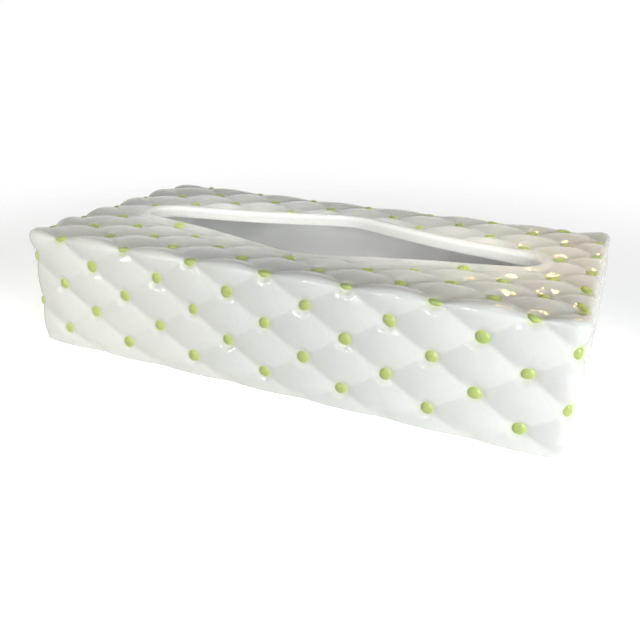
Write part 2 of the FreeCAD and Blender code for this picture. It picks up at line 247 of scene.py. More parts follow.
# %% The height formula
SWELL = 0.0027
SINK = 0.0006
SEAM_SHARE = 0.46
PIN_POWER = 0.55
WALL_POWER = 0.56
TOP_POWER = 0.85
WALL_BEND = 0.04
TOP_BEND = 0.10
RISING_WEIGHT = 0.36
WALL_LINK = 0.10
RIM_CALM = 0.55
CALM_REACH = 0.010
SOFT_CORNER = np.array([-LENGTH / 2, DEPTH / 2, HEIGHT])
SOFT_CALM = 0.7
SOFT_REACH = 0.019
EDGE_CALM = 0.62
EDGE_START = 1.25
EDGE_REACH = 0.014
EDGE_TOP = 0.004
EDGE_FADE = 0.012
SEAT_RADIUS = 0.0017
SEAT_REACH = 0.0036
WAVINESS = 0.05
WAVE_RATES = (37, 53, 41)


def smooth(share):
    """Ease from 0 to 1."""
    share = np.clip(share, 0, 1)
    return share * share * (3 - 2 * share)


def soft_sine(share, power, bend):
    """A rounded crest between whole numbers with a soft dip at each of them."""
    wave = np.sqrt(np.sin(np.pi * share) ** 2 + bend**2) - bend
    return (wave / (1 - bend)) ** power


def calmed(lean, from_edge):
    """Share of the swell left along a rim whose tufts sit in on the top."""
    near = smooth(1 - np.abs(from_edge) / CALM_REACH)
    return 1 - RIM_CALM * lean / RIM_LEANS.max() * near


def corner_calm(place):
    """Share of the swell left near the smooth back left corner and the two left edges."""
    corner = smooth(1 - np.linalg.norm(place - SOFT_CORNER, axis=-1) / SOFT_REACH)
    away = np.hypot(place[..., 0] + LENGTH / 2, np.abs(place[..., 1]) - DEPTH / 2)
    edge = smooth(EDGE_START - away / EDGE_REACH)
    below = smooth((HEIGHT - place[..., 2] - EDGE_TOP) / EDGE_FADE)
    return (1 - SOFT_CALM * corner) * (1 - EDGE_CALM * edge * below)


def quilt(column, row, column_step, row_step, place, inner=0.0):
    """Height above the dot box as a share of the full swell."""
    rising = (column + row - 1) / 2
    falling = (column - row - 1) / 2
    link = WALL_LINK * (1 - inner)
    power = WALL_POWER + (TOP_POWER - WALL_POWER) * inner
    bend = WALL_BEND + (TOP_BEND - WALL_BEND) * inner
    pillow = link + (1 - link) * soft_sine(rising, power, bend)
    pillow = pillow * soft_sine(falling, power, bend)
    pinned = RISING_WEIGHT * np.sin(np.pi * rising) ** 2
    pinned = (pinned + (1 - RISING_WEIGHT) * np.sin(np.pi * falling) ** 2) ** PIN_POWER
    height = (1 - SEAM_SHARE) * pillow + SEAM_SHARE * pinned
    off_rising = rising - np.round(rising)
    off_falling = falling - np.round(falling)
    gap = np.hypot((off_rising + off_falling) * column_step, (off_rising - off_falling) * row_step)
    height = height * smooth((gap - SEAT_RADIUS) / SEAT_REACH)
    waves = sum(place[..., axis] * rate for axis, rate in enumerate(WAVE_RATES))
    return height * (1 - WAVINESS + WAVINESS * np.sin(waves))


print("swell", SWELL * 1000, "mm, of which", SINK * 1000, "mm lies inside the dot box")

# %% [markdown]
# ## The slot
# The slot is a lens with a soft point in the middle of each long side and round
# ends. One quarter of it is noted as shares of its half length and half width
# and mirrored. A closed smooth curve through those points is a small linear
# system, so no curve object has to be made and read back.

# %% The slot curve
SLOT_HALF_LENGTH = 0.107
SLOT_HALF_WIDTH = 0.0385
SLOT_SHIFT = -0.0005
SLOT_STATIONS = 3600
CUTS_PER_SPAN = 60
SLOT_X = (0.0, 0.115, 0.215, 0.35, 0.52, 0.70, 0.85, 0.95, 0.99)
SLOT_Y = (1.0, 0.935, 0.84, 0.71, 0.565, 0.455, 0.365, 0.26, 0.13)


def slot_points():
    """The points that the slot curve runs through, from the middle of its front."""
    quarter = np.array([SLOT_X, SLOT_Y]).T * (SLOT_HALF_LENGTH, SLOT_HALF_WIDTH)
    end = np.array([[SLOT_HALF_LENGTH, 0.0]])
    right = [quarter * (1, -1), end, quarter[::-1]]
    left = [quarter[1:] * (-1, 1), -end, quarter[:0:-1] * (-1, -1)]
    return np.concatenate(right + left) + np.array([0.0, SLOT_SHIFT])


def closed_curve(points, count):
    """Sample a smooth closed curve through points at even lengths."""
    ahead = np.roll(points, -1, axis=0)
    chord = np.linalg.norm(ahead - points, axis=1)[:, None] ** 0.5
    last = np.roll(chord, 1, axis=0)
    rise = (ahead - points) / chord
    here = np.arange(len(points))
    system = np.zeros((len(points), len(points)))
    system[here, here - 1] = chord[:, 0]
    system[here, here] = 2 * (last + chord)[:, 0]
    system[here, (here + 1) % len(points)] = last[:, 0]
    slope = np.linalg.solve(system, 3 * (chord * np.roll(rise, 1, axis=0) + last * rise))
    share = np.linspace(0, 1, CUTS_PER_SPAN, endpoint=False)[:, None]
    span = chord[:, None]
    fine = (2 * share**3 - 3 * share**2 + 1) * points[:, None]
    fine = fine + (share**3 - 2 * share**2 + share) * span * slope[:, None]
    fine = fine + (3 * share**2 - 2 * share**3) * ahead[:, None]
    fine = fine + (share**3 - share**2) * span * np.roll(slope, -1, axis=0)[:, None]
    fine = fine.reshape(-1, 2)
    closed = np.concatenate([fine, fine[:1]])
    step = np.linalg.norm(np.diff(closed, axis=0), axis=1)
    length = np.concatenate([[0], np.cumsum(step)])
    wanted = np.linspace(0, length[-1], count, endpoint=False)
    return np.stack([np.interp(wanted, length, closed[:, axis]) for axis in (0, 1)], -1)


slot_line = closed_curve(slot_points(), SLOT_STATIONS)
slot_perimeter = np.linalg.norm(np.roll(slot_line, -1, axis=0) - slot_line, axis=1).sum()
print("slot perimeter", round(slot_perimeter * 1000), "mm")

# %% [markdown]
# ## Pairing the slot with the outline
# The top is a band between the outline of the box and the slot, so each column
# needs a partner on the slot. The long walls pair with the long sides of the
# slot and the ends with its round ends, which keeps the quads from shearing.

# %% Slot partner of each column
COLUMN_CUTS = 16
END_SHARE = 0.92
TANGENT_REACH = 4
columns = np.arange(AROUND * COLUMN_CUTS) / COLUMN_CUTS


def nearest_station(x, y_sign):
    """Station on the slot line at an x position on its front or back."""
    side = np.sign(slot_line[:, 1] - SLOT_SHIFT) == y_sign
    gap = np.where(side, np.abs(slot_line[:, 0] - x), 1.0)
    return int(np.argmin(gap))


def slot_partner():
    """Plan points on the slot line, one per column, and the way out of the slot."""
    end_x = SLOT_HALF_LENGTH * END_SHARE
    count = len(slot_line)
    stops = [nearest_station(x_sign * end_x, y_sign) for x_sign, y_sign in SIGNS]
    if stops[0] > stops[1]:
        stops[0] -= count
    stops.append(stops[0] + count)
    station = np.zeros(len(columns))
    edges = CORNERS + (AROUND,)
    for part in range(4):
        inside = (columns >= edges[part]) & (columns < edges[part + 1])
        share = (columns[inside] - edges[part]) / (edges[part + 1] - edges[part])
        station[inside] = stops[part] + share * (stops[part + 1] - stops[part])
    index = np.mod(np.round(station).astype(int), count)
    tangent = slot_line[(index + TANGENT_REACH) % count] - slot_line[index - TANGENT_REACH]
    tangent /= np.linalg.norm(tangent, axis=1, keepdims=True)
    outward = np.stack([tangent[:, 1], -tangent[:, 0]], -1)
    return slot_line[index], outward


slot_side, slot_out = slot_partner()
print("slot partners", len(slot_side), "first", np.round(slot_side[0] * 1000, 1))

# %% [markdown]
# ## The skin as a function
# With the quilt and the outline in hand, two functions give any point of the
# outer skin: one for the walls and the roll over the top edge, one for the top.
# Both return the place on the dot box, the outward direction, the height above
# it and that height's share of the full swell. The mesh and the dots both ask
# these functions, so the dots sit on the glaze wherever they are.

# %% Skin functions
FOOT_FADE = 0.0075
FOOT_START = 0.15
FOOT_SHARE = 0.45
SLOT_FADE = 0.007
SLOT_SHARE = 0.02
LIP_OUT = 0.0009
LIP_RISE = 0.0014
LIP_SPREAD = 0.0046
THINNING = 12
BATCH = 4000


def slot_distance(x, y):
    """Distance in plan from the slot line, for arrays."""
    flat = np.stack([np.ravel(x), np.ravel(y)], -1)
    coarse = slot_line[::THINNING]
    best = np.zeros(len(flat))
    for start in range(0, len(flat), BATCH):
        part = flat[start : start + BATCH]
        gap = np.linalg.norm(part[:, None, :] - coarse[None, :, :], axis=2)
        best[start : start + BATCH] = gap.min(axis=1)
    return best.reshape(np.shape(x))


def sag_at(flat):
    """How far the top has sunk in the firing."""
    column, row, _ = top_lattice(flat)
    across = np.sin(np.pi * np.clip(column / LONG_STEPS, 0, 1))
    return SAG * across * np.sin(np.pi * np.clip(row / DEEP_STEPS, 0, 1))


def top_height(flat, place):
    """Height of the quilt on the top, read at a flat position, and its share of the swell."""
    column, row, row_step = top_lattice(flat)
    from_ends = np.minimum(column, LONG_STEPS - column)
    inner = smooth(np.minimum(from_ends, np.minimum(row, DEEP_STEPS - row)))
    share = quilt(column, row, COLUMN_STEP, row_step, place, inner)
    away = slot_distance(place[..., 0], place[..., 1])
    fade = SLOT_SHARE + (1 - SLOT_SHARE) * smooth((away - LIP_OUT) / SLOT_FADE)
    calm = calmed(back_lean(column), DEPTH / 2 - flat[..., 1])
    calm = calm * calmed(end_lean(row), LENGTH / 2 - flat[..., 0]) * corner_calm(place)
    ridge = LIP_RISE * smooth(1 - away / LIP_SPREAD)
    return (share * SWELL * calm - SINK) * fade + ridge, share


def wall_skin(column, down):
    """Outer skin at a distance down the wall, or in over the top where negative."""
    column = np.asarray(column, dtype=float)
    down = np.broadcast_to(np.asarray(down, dtype=float), column.shape)
    turned = np.clip((down + RIM_REACH) / (2 * RIM_REACH), 0, 1)
    inset = np.where(down < -RIM_REACH, -down, RIM_REACH * (1 - turned) ** 2)
    drop = np.where(down > RIM_REACH, down, RIM_REACH * turned**2)
    point, out = plan(column, np.where(down > RIM_REACH, 0, inset))
    flat, _ = plan(column, np.maximum(-down, 0), 0)
    drop = drop + np.where(down < 0, sag_at(flat), 0)
    place = np.stack([point[..., 0], point[..., 1], HEIGHT - drop], -1)
    normal = np.stack([out[..., 0] * turned, out[..., 1] * turned, 1 - turned], -1)
    normal /= np.linalg.norm(normal, axis=-1, keepdims=True)
    row, row_step = wall_lattice(column, down)
    side = side_at(column)
    on_end = np.where(side == 1, column - CORNERS[1], AROUND - column)
    column_step = np.where(side % 2 == 1, step_on(DEPTH_STOPS, on_end), COLUMN_STEP)
    share = quilt(column, row, column_step, row_step, place)
    above_foot = smooth((HEIGHT - drop) / FOOT_FADE - FOOT_START)
    height = share * SWELL * (FOOT_SHARE + (1 - FOOT_SHARE) * above_foot)
    height = height * calmed(rim_lean(column), down) * corner_calm(place) - SINK
    over_height, over_share = top_height(flat, place)
    height = np.where(down < 0, over_height, height)
    return place, normal, height, np.where(down < 0, over_share, share)


def top_skin(point, flat):
    """Outer skin of the top; the lattice is read at the flat position."""
    level = HEIGHT - sag_at(flat)
    place = np.concatenate([point, level[..., None]], -1)
    height, share = top_height(flat, place)
    return place, np.broadcast_to([0.0, 0.0, 1.0], place.shape), height, share


crest = wall_skin(np.array([4.0]), place_on(DROP_STOPS, np.array([2.0])))
print("a pillow crest stands", round(float(crest[2][0]) * 1000, 2), "mm proud")

# %% [markdown]
# ## The casting as one closed grid
# The cover is a box with no bottom and one hole in its top, which makes it a
# ring: a section through the wall can be walked around the whole object and
# come back to where it began. So the mesh is a plain grid that closes both
# ways. Its loops run up the outer wall, in across the top, over the lip, back
# out under the top, down the inner wall and around the foot. Four-sided faces
# all over give clean highlights on a glossy glaze.

# %% Loops of the casting
FOOT_ROLL = 0.0011
LIP_FOOT = 0.0009
LIP_LEVEL = CEILING - LIP_FOOT
LIP_IN = 0.0026
LIP_DROP = 0.0024
FILLET = 0.004
WALL_LOOPS = 64
RIM_CUTS = 11
TOP_CUTS = 63
TOP_CROWDING = 1.12
loops = []
marks = []


def add_loop(place, normal, height, share, bare=0.0, inside=0.0):
    """Keep one loop of points and what its glaze needs to know."""
    loops.append(place + normal * np.asarray(height)[..., None])
    count = len(columns)
    values = (np.broadcast_to(share, count), np.full(count, bare), np.full(count, inside))
    marks.append(np.stack(values, -1))


def add_plain_loop(point, level, bare=0.0, inside=0.0):
    """Keep one loop of smooth glaze, given in plan and height."""
    place = np.concatenate([point, np.broadcast_to(level, len(columns))[:, None]], -1)
    add_loop(place, np.zeros(place.shape), np.zeros(len(columns)), 1.0, bare, inside)


def even(cuts, start=0.0, end=1.0):
    """Even stops from just after a start to an end."""
    return np.linspace(start, end, cuts + 1)[1:]


def arc(cuts):
    """A quarter turn in some cuts: each angle in degrees, its sine and its cosine."""
    for turn in even(cuts, 0, 90):
        yield turn, math.sin(math.radians(turn)), math.cos(math.radians(turn))


def outer_wall_loops():
    """Up the outside, from the foot to the roll over the top edge."""
    levels = np.linspace(HEIGHT - FOOT_ROLL, RIM_REACH, WALL_LOOPS)
    for down in (*levels, *even(RIM_CUTS, RIM_REACH, -RIM_REACH)):
        add_loop(*wall_skin(columns, down))


def top_loops():
    """In across the top as far as the crown of the lip."""
    edge, _ = plan(columns, RIM_REACH)
    flat_edge, _ = plan(columns, RIM_REACH, 0)
    for share in 1 - (1 - even(TOP_CUTS)) ** TOP_CROWDING:
        point = edge + (slot_side - edge) * share
        flat = flat_edge + (slot_side - flat_edge) * share
        add_loop(*top_skin(point, flat))


outer_wall_loops()
top_loops()
print("loops of the outer skin", len(loops), "of", len(columns), "points")

# %% [markdown]
# ## The lip, the inside and the foot
# The lip is rolled so that tissue slides over it. The inner wall keeps only a
# trace of the quilt, as a poured wall does, and the foot is ground flat.

# %% Loops of the lip, the inside and the foot
LIP_CUTS = 10
LIP_SIDE_CUTS = 4
LIP_FOOT_CUTS = 6
FOOT_CUTS = 4
CEILING_CUTS = 23
FILLET_CUTS = 5
INNER_WALL_CUTS = 21
CEILING_SAG = 0.6
CEILING_QUILT = 0.2
INNER_QUILT = 0.25
INNER_EASE = 0.012
FOOT_CLEAR = 0.002
EASE_IN = 4
EASE_OUT = 3
LIP_EASE = 7
FOOT_INSIDE = (0.6, 0.5)
BARE_BY = 60
GLAZE_ENDS = (30, 70)


def lip_loops():
    """Over the lip, down inside the slot and around its lower edge."""
    crown = loops[-1][:, 2]
    for _, sine, cosine in arc(LIP_CUTS):
        add_plain_loop(slot_side - slot_out * LIP_IN * sine, crown - LIP_DROP * (1 - cosine))
    side_top = crown - LIP_DROP
    side_foot = LIP_LEVEL + LIP_FOOT
    for share in even(LIP_SIDE_CUTS):
        add_plain_loop(slot_side - slot_out * LIP_IN, side_top + (side_foot - side_top) * share)
    for turn, sine, cosine in arc(LIP_FOOT_CUTS):
        inward = LIP_IN - LIP_FOOT * (1 - cosine)
        level = side_foot - LIP_FOOT * sine
        add_plain_loop(slot_side - slot_out * inward, level, 0.0, turn / 90)


def inner_loops():
    """Back out under the top and down the inner wall."""
    start = loops[-1]
    lip = start[:, :2]
    edge, _ = plan(columns, WALL + FILLET)
    flat_edge, _ = plan(columns, WALL + FILLET, 0)
    for share in even(CEILING_CUTS):
        point = lip + (edge - lip) * share
        flat = lip + (flat_edge - lip) * share
        rough, _ = top_height(flat, np.concatenate([point, start[:, 2:]], -1))
        ease = smooth(share * EASE_IN) * smooth((1 - share) * EASE_OUT)
        sag = sag_at(flat) * CEILING_SAG * (1 - share**4)
        level = CEILING - sag + CEILING_QUILT * rough * ease
        level = start[:, 2] + (level - start[:, 2]) * smooth(share * LIP_EASE)
        add_plain_loop(point, level, 0.0, 1.0)
    top_level = loops[-1][:, 2]
    for _, sine, cosine in arc(FILLET_CUTS):
        point, _ = plan(columns, WALL + FILLET * (1 - sine))
        add_plain_loop(point, top_level - FILLET * (1 - cosine), 0.0, 1.0)
    wall_top = CEILING - FILLET
    point, out = plan(columns, WALL)
    for level in even(INNER_WALL_CUTS, wall_top, FOOT_ROLL):
        rough = wall_skin(columns, HEIGHT - level)[2]
        ease = smooth((wall_top - level) / INNER_EASE) * smooth((level - FOOT_CLEAR) / INNER_EASE)
        swelled = point + out * (INNER_QUILT * rough * ease)[:, None]
        add_plain_loop(swelled, level, 0.0, 1.0)


def foot_loops():
    """Around the bare foot, back to the outer wall."""
    inner = loops[-1][:, :2]
    outer = loops[0][:, :2]
    way = outer - inner
    way /= np.linalg.norm(way, axis=1, keepdims=True)
    for turn, sine, cosine in arc(FOOT_CUTS):
        point = inner + way * FOOT_ROLL * (1 - cosine)
        bare = min(1.0, turn / BARE_BY)
        add_plain_loop(point, FOOT_ROLL * (1 - sine), bare, FOOT_INSIDE[0])
    flat_in = loops[-1][:, :2]
    flat_out = outer - way * FOOT_ROLL
    for share in even(FOOT_CUTS):
        inside = FOOT_INSIDE[1] * (1 - share)
        add_plain_loop(flat_in + (flat_out - flat_in) * share, 0.0, 1.0, inside)
    for turn, sine, cosine in reversed(list(arc(FOOT_CUTS))[:-1]):
        point = outer - way * FOOT_ROLL * (1 - cosine)
        bare = (turn - GLAZE_ENDS[0]) / (GLAZE_ENDS[1] - GLAZE_ENDS[0])
        add_plain_loop(point, FOOT_ROLL * (1 - sine), min(1.0, max(0.0, bare)))


lip_loops()
inner_loops()
foot_loops()
print("loops in all", len(loops))

# %% [markdown]
# ## Joining the loops
# Quads join each loop to the next and the last to the first, which closes the
# ring. Each point also keeps a few numbers that the glaze reads later.

# %% Make the casting


def mesh_from_grid(name, grid):
    """A mesh from loops of points that close along the loop and across them."""
    rows, count = grid.shape[:2]
    here = np.arange(rows * count).reshape(rows, count)
    below = np.roll(here, -1, axis=0)
    quads = np.stack([here, np.roll(here, -1, axis=1), np.roll(below, -1, axis=1), below], -1)
    mesh = bpy.data.meshes.new(name)
    mesh.from_pydata(grid.reshape(-1, 3).tolist(), [], quads.reshape(-1, 4).tolist())
    mesh.shade_smooth()
    mesh.update()
    return mesh


def set_out(name, data):
    """Put a mesh, a lamp or a camera in the scene as an object."""
    item = bpy.data.objects.new(name, data)
    bpy.context.scene.collection.objects.link(item)
    return item


def store_mark(name, values):
    """Keep a number for each point of the casting."""
    mark = shell_mesh.attributes.new(name, "FLOAT", "POINT")
    mark.data.foreach_set("value", values.astype(np.float32).ravel())


shell_mesh = mesh_from_grid("quilted_casting", np.array(loops))
shell = set_out("quilted_casting", shell_mesh)
for index, name in enumerate(("swell", "bare", "inside")):
    store_mark(name, np.array(marks)[..., index])
print("casting faces", len(shell_mesh.polygons), "first normal", shell_mesh.polygons[600].normal)

# %% [markdown]
# ## The enamel dots
# Each dot is a drop of thick enamel put on with a brush. It follows the glaze
# under it, stands about a millimetre proud and is never quite round. So a dot
# is built as a small dome over a round patch of the skin: each point asks the
# skin where it is, then rises from there. A slow wobble in the radius and a
# small stray from the tuft make every dot its own.

# %% Dots
DOT_RADIUS = 0.0027
DOT_RISE = 0.00115
DOT_BED = 0.00012
DOT_ROOT = 0.0006
SIZES = (0.90, 1.08)
STRETCHES = (0.93, 1.07)
STRAY = 0.00032
WOBBLES = (0.030, 0.018)
SPOKES = 28
RINGS = (0.0, 0.22, 0.42, 0.6, 0.75, 0.87, 0.95, 1.0)
DOME_FLATNESS = 2.6
DOME_ROUNDNESS = 0.75
SEED = 31
stray = np.random.default_rng(SEED)
dot_middles = []


def dome_share(share):
    """Height of a settled drop at a share of its radius."""
    return (1 - share**DOME_FLATNESS) ** DOME_ROUNDNESS


def side_dot(column, row):
    """A patch of skin around a tuft of a wall or of the rim."""
    down = place_on(DROP_STOPS, row) - rim_lean(column) * (row == 0)
    on_end = column - CORNERS[1] if column < CORNERS[2] else AROUND - column
    steps = (COLUMN_STEP, step_on(DEPTH_STOPS, on_end - 0.5))
    step = steps[side_at(column + SHY) % 2]

    def skin(across, below):
        return wall_skin(column + across / step, down + below)

    return skin


def top_dot(column, row):
    """A patch of skin around a tuft of the top."""
    x = column * COLUMN_STEP - LENGTH / 2
    y = place_on(DEPTH_STOPS, row) - DEPTH / 2 - pushed(column, row)

    def skin(across, up):
        point = np.stack([x + across, y + up], -1)
        return top_skin(point, point)

    return skin


def dot_points(skin):
    """Closed dome for one dot: its rings from the middle out, then its underside."""
    size = DOT_RADIUS * stray.uniform(*SIZES)
    stretch = stray.uniform(*STRETCHES)
    lean = stray.uniform(0, math.pi)
    phase = stray.uniform(0, 2 * math.pi, 2)
    away = stray.normal(0, STRAY, 2)
    angle = np.arange(SPOKES) / SPOKES * 2 * math.pi
    wobble = 1 + WOBBLES[0] * np.sin(2 * angle + phase[0])
    wobble = wobble + WOBBLES[1] * np.sin(3 * angle + phase[1])
    rings = []
    for share in RINGS:
        reach = size * wobble * share
        across = reach * np.cos(angle) * stretch
        up = reach * np.sin(angle) / stretch
        turned = across * math.cos(lean) - up * math.sin(lean) + away[0]
        raised = across * math.sin(lean) + up * math.cos(lean) + away[1]
        place, normal, height, _ = skin(turned, raised)
        rise = DOT_RISE * dome_share(share) - DOT_BED
        rings.append(place + normal * (height + rise)[..., None])
        if share == 0.0:
            dot_middles.append(place[0] + normal[0] * height[0])
        if share == 1.0:
            rings.append(place + normal * (height - DOT_ROOT)[..., None])
    return rings


def dot_mesh(name, skins):
    """One mesh that holds all the dots of a group."""
    builder = bmesh.new()
    for skin in skins:
        rings = dot_points(skin)
        crown = builder.verts.new(rings[0][0])
        last = None
        for ring in rings[1:]:
            this = [builder.verts.new(point) for point in ring]
            for spoke in range(SPOKES):
                after = (spoke + 1) % SPOKES
                if last is None:
                    builder.faces.new((crown, this[spoke], this[after]))
                else:
                    builder.faces.new((last[spoke], this[spoke], this[after], last[after]))
            last = this
        builder.faces.new(list(reversed(last)))
    bmesh.ops.recalc_face_normals(builder, faces=builder.faces)
    mesh = bpy.data.meshes.new(name)
    builder.to_mesh(mesh)
    builder.free()
    mesh.shade_smooth()
    return mesh


print("a dot has", len(RINGS) * SPOKES + 1, "points")

# %% [markdown]
# ### Which tufts carry a dot
# Every tuft of the walls and of the rim carries one. On the top the slot leaves
# out some, and the rest is noted row by row. Each group takes one CAD node.

# %% The dots of each node
TOP_TUFTS = {
    1: (2, 4, 6, 8, 10, 12),
    2: (1, 3, 5, 7, 9, 11, 13),
    3: (2, 4, 10, 12),
    4: (1, 3, 11, 13),
    6: (1, 13),
    7: (2, 12),
    8: (1, 3, 5, 9, 11, 13),
    9: (2, 4, 6, 8, 10, 12),
}
WALL_NODES = ("front_wall_dots", "right_end_dots", "back_wall_dots", "left_end_dots")


def dot_groups():
    """Skins of all the dots, by the CAD node that they stand in for."""
    groups = defaultdict(list)
    for column in range(AROUND):
        if column % 2 == 1:
            groups["rim_dots"].append(side_dot(column, 0))
        for row in range(1, len(DROP_STOPS) - 1):
            if (column + row) % 2 == 1:
                name = "corner_dots" if column in CORNERS else WALL_NODES[side_at(column)]
                groups[name].append(side_dot(column, row))
    for row, dotted in TOP_TUFTS.items():
        name = "top_front_dots" if row < DEEP_STEPS / 2 else "top_back_dots"
        for column in dotted:
            groups[name].append(top_dot(column, row))
    return groups


dot_pieces = {}
for name, skins in dot_groups().items():
    piece = set_out("enamel_" + name, dot_mesh("enamel_" + name, skins))
    dot_pieces[name] = piece
    print(name, len(skins), "dots")

# %% [markdown]
# ## Where the enamel bleeds
# Enamel colours the glaze just outside its edge as it melts. For that the
# casting keeps the distance from each point to the middle of the nearest dot.

# %% How far the glaze is from a dot
FAR = 0.01
NEARBY = 0.009
HALO_REACH = 0.004


def dot_gaps():
    """Distance from each point of the casting to the nearest dot."""
    points = np.array(loops).reshape(-1, 3)
    nearest = np.full(len(points), FAR)
    for middle in dot_middles:
        near = np.abs(points - middle).max(axis=1) < NEARBY
        gap = np.linalg.norm(points[near] - middle, axis=1)
        nearest[near] = np.minimum(nearest[near], gap)
    return nearest


gaps = dot_gaps()
store_mark("dot_gap", gaps)
print("points of the glaze near a dot", int((gaps < HALO_REACH).sum()))

# %% [markdown]
# ## Glaze effects as shared groups
# A glaze is never one flat white. Its valleys are darkened as painted shade,
# partly also for the thicker, greyer glaze that pools there, the crests keep the
# plain white, and the whole surface has the faint dimpling of orange peel. Both
# the casting and the enamel need such effects with their own amounts, so each is
# a small node group with named inputs, built once.

# %% Node helpers


def feed(tree, socket, value):
    """Give a socket a link, a colour or a plain value."""
    if isinstance(value, bpy.types.NodeSocket):
        tree.links.new(value, socket)
    elif isinstance(value, tuple):
        socket.default_value = (*value, 1.0)
    else:
        socket.default_value = value


def add_node(tree, kind, **values):
    """A node with its settings, and what goes into its sockets, set by name."""
    node = tree.nodes.new(kind)
    for key, value in values.items():
        if hasattr(node, key):
            setattr(node, key, value)
        else:
            feed(tree, node.inputs[key.replace("_", " ")], value)
    return node


def new_group(name, output, **inputs):
    """An empty node group of plain numbers; returns it, its inputs and its output."""
    tree = bpy.data.node_groups.new(name, "ShaderNodeTree")
    for key, value in inputs.items():
        label = key.replace("_", " ")
        socket = tree.interface.new_socket(label, in_out="INPUT", socket_type="NodeSocketFloat")
        socket.default_value = value
    tree.interface.new_socket(output, in_out="OUTPUT", socket_type="NodeSocketFloat")
    entry = tree.nodes.new("NodeGroupInput")
    leave = tree.nodes.new("NodeGroupOutput")
    return tree, entry.outputs, leave.inputs[output]


def math_node(tree, operation, first, second, clamp=False):
    """A math node fed by sockets or plain numbers; returns its output."""
    node = add_node(tree, "ShaderNodeMath", operation=operation, use_clamp=clamp)
    feed(tree, node.inputs[0], first)
    feed(tree, node.inputs[1], second)
    return node.outputs[0]


def times(tree, first, second):
    """The product of two values."""
    return math_node(tree, "MULTIPLY", first, second)


def plus(tree, first, second, clamp=False):
    """The sum of two values."""
    return math_node(tree, "ADD", first, second, clamp)


def band(tree, value, low, high, start=0.0, end=1.0):
    """Map a value smoothly from one span to another; returns the output."""
    node = add_node(tree, "ShaderNodeMapRange", interpolation_type="SMOOTHSTEP", Value=value)
    for label, edge in zip(("From Min", "From Max", "To Min", "To Max"), (low, high, start, end)):
        feed(tree, node.inputs[label], edge)
    return node.outputs["Result"]


def tint(tree, share, first, second):
    """Mix two colours, each a socket or a plain colour; returns the output."""
    node = add_node(tree, "ShaderNodeMix", data_type="RGBA", Factor=share)
    for label, value in (("A", first), ("B", second)):
        socket = [one for one in node.inputs if one.name == label and one.type == "RGBA"][0]
        feed(tree, socket, value)
    return [one for one in node.outputs if one.type == "RGBA"][0]


def place_of(tree):
    """Where a point lies on the object itself."""
    return add_node(tree, "ShaderNodeTexCoord").outputs["Object"]


def noise(tree, scale, detail, roughness):
    """Soft noise that stays with the object; returns its value."""
    values = {"Vector": place_of(tree), "Scale": scale, "Detail": detail, "Roughness": roughness}
    return add_node(tree, "ShaderNodeTexNoise", **values).outputs["Fac"]


def place_group(tree, group, **values):
    """Put a shared group in a material with its own amounts; returns its output."""
    return add_node(tree, "ShaderNodeGroup", node_tree=group, **values).outputs[0]


# %% [markdown]
# ### Orange peel
# A fired glaze isn't a perfect mirror: it has a faint dimpling and slower waves
# from where it ran. Two noises of different scale, added in shares, give both.

# %% Orange peel


def make_orange_peel():
    """Height of the fine dimples and the slow waves of a glaze."""
    tree, given, height = new_group(
        "orange_peel", "Height", Dimple_Scale=900.0, Wave_Scale=140.0, Wave_Share=0.7
    )
    waves = times(tree, noise(tree, given["Wave Scale"], 2.0, 0.5), given["Wave Share"])
    rest = math_node(tree, "SUBTRACT", 1.0, given["Wave Share"])
    dimples = times(tree, noise(tree, given["Dimple Scale"], 1.0, 0.5), rest)
    feed(tree, height, plus(tree, waves, dimples))
    return tree


# %% [markdown]
# ### Pin marks
# Gas leaves the glaze in the kiln, and iron in the clay burns to a speck. Each
# cell of a pattern has room for one mark, and a share of the cells gets one.

# %% Pin marks


def make_pin_marks():
    """Mask of scattered small specks."""
    tree, given, mask = new_group("pin_marks", "Mask", Scale=160.0, Size=0.05, Share=0.25)
    cells = add_node(tree, "ShaderNodeTexVoronoi", feature="F1", Vector=place_of(tree))
    feed(tree, cells.inputs["Scale"], given["Scale"])
    split = add_node(tree, "ShaderNodeSeparateColor", Color=cells.outputs["Color"])
    chosen = math_node(tree, "LESS_THAN", split.outputs["Red"], given["Share"])
    near = math_node(tree, "LESS_THAN", cells.outputs["Distance"], given["Size"])
    feed(tree, mask, times(tree, chosen, near))
    return tree


# %% [markdown]
# ### Cloudy tone
# No brush and no dip leaves an even coat, so tone drifts slowly over a surface.
# One noise with a contrast of its own serves glaze, enamel and bare clay.

# %% Cloudy tone


def make_cloudy_tone():
    """A slow mask for tone that drifts over a surface."""
    tree, given, mask = new_group("cloudy_tone", "Mask", Scale=18.0, Contrast=1.0)
    drift = math_node(tree, "SUBTRACT", noise(tree, given["Scale"], 3.0, 0.55), 0.5)
    feed(tree, mask, plus(tree, times(tree, drift, given["Contrast"]), 0.5, True))
    return tree


# %% [markdown]
# ### Level places
# The seams of the top are painted darker still, as painted shade, partly also for
# wet glaze that lies still on a level place and fires thicker and greyer. The
# upward share of the normal tells level places from the walls.

# %% Level places


def make_level_places():
    """Mask of the surfaces that face up."""
    tree, given, mask = new_group("level_places", "Mask", Low=0.35, High=0.85)
    facing = add_node(tree, "ShaderNodeTexCoord").outputs["Normal"]
    split = add_node(tree, "ShaderNodeSeparateXYZ", Vector=facing)
    feed(tree, mask, band(tree, split.outputs["Z"], given["Low"], given["High"]))
    return tree


orange_peel = make_orange_peel()
pin_marks = make_pin_marks()
cloudy_tone = make_cloudy_tone()
level_places = make_level_places()
print("groups", [tree.name for tree in (orange_peel, pin_marks, cloudy_tone, level_places)])
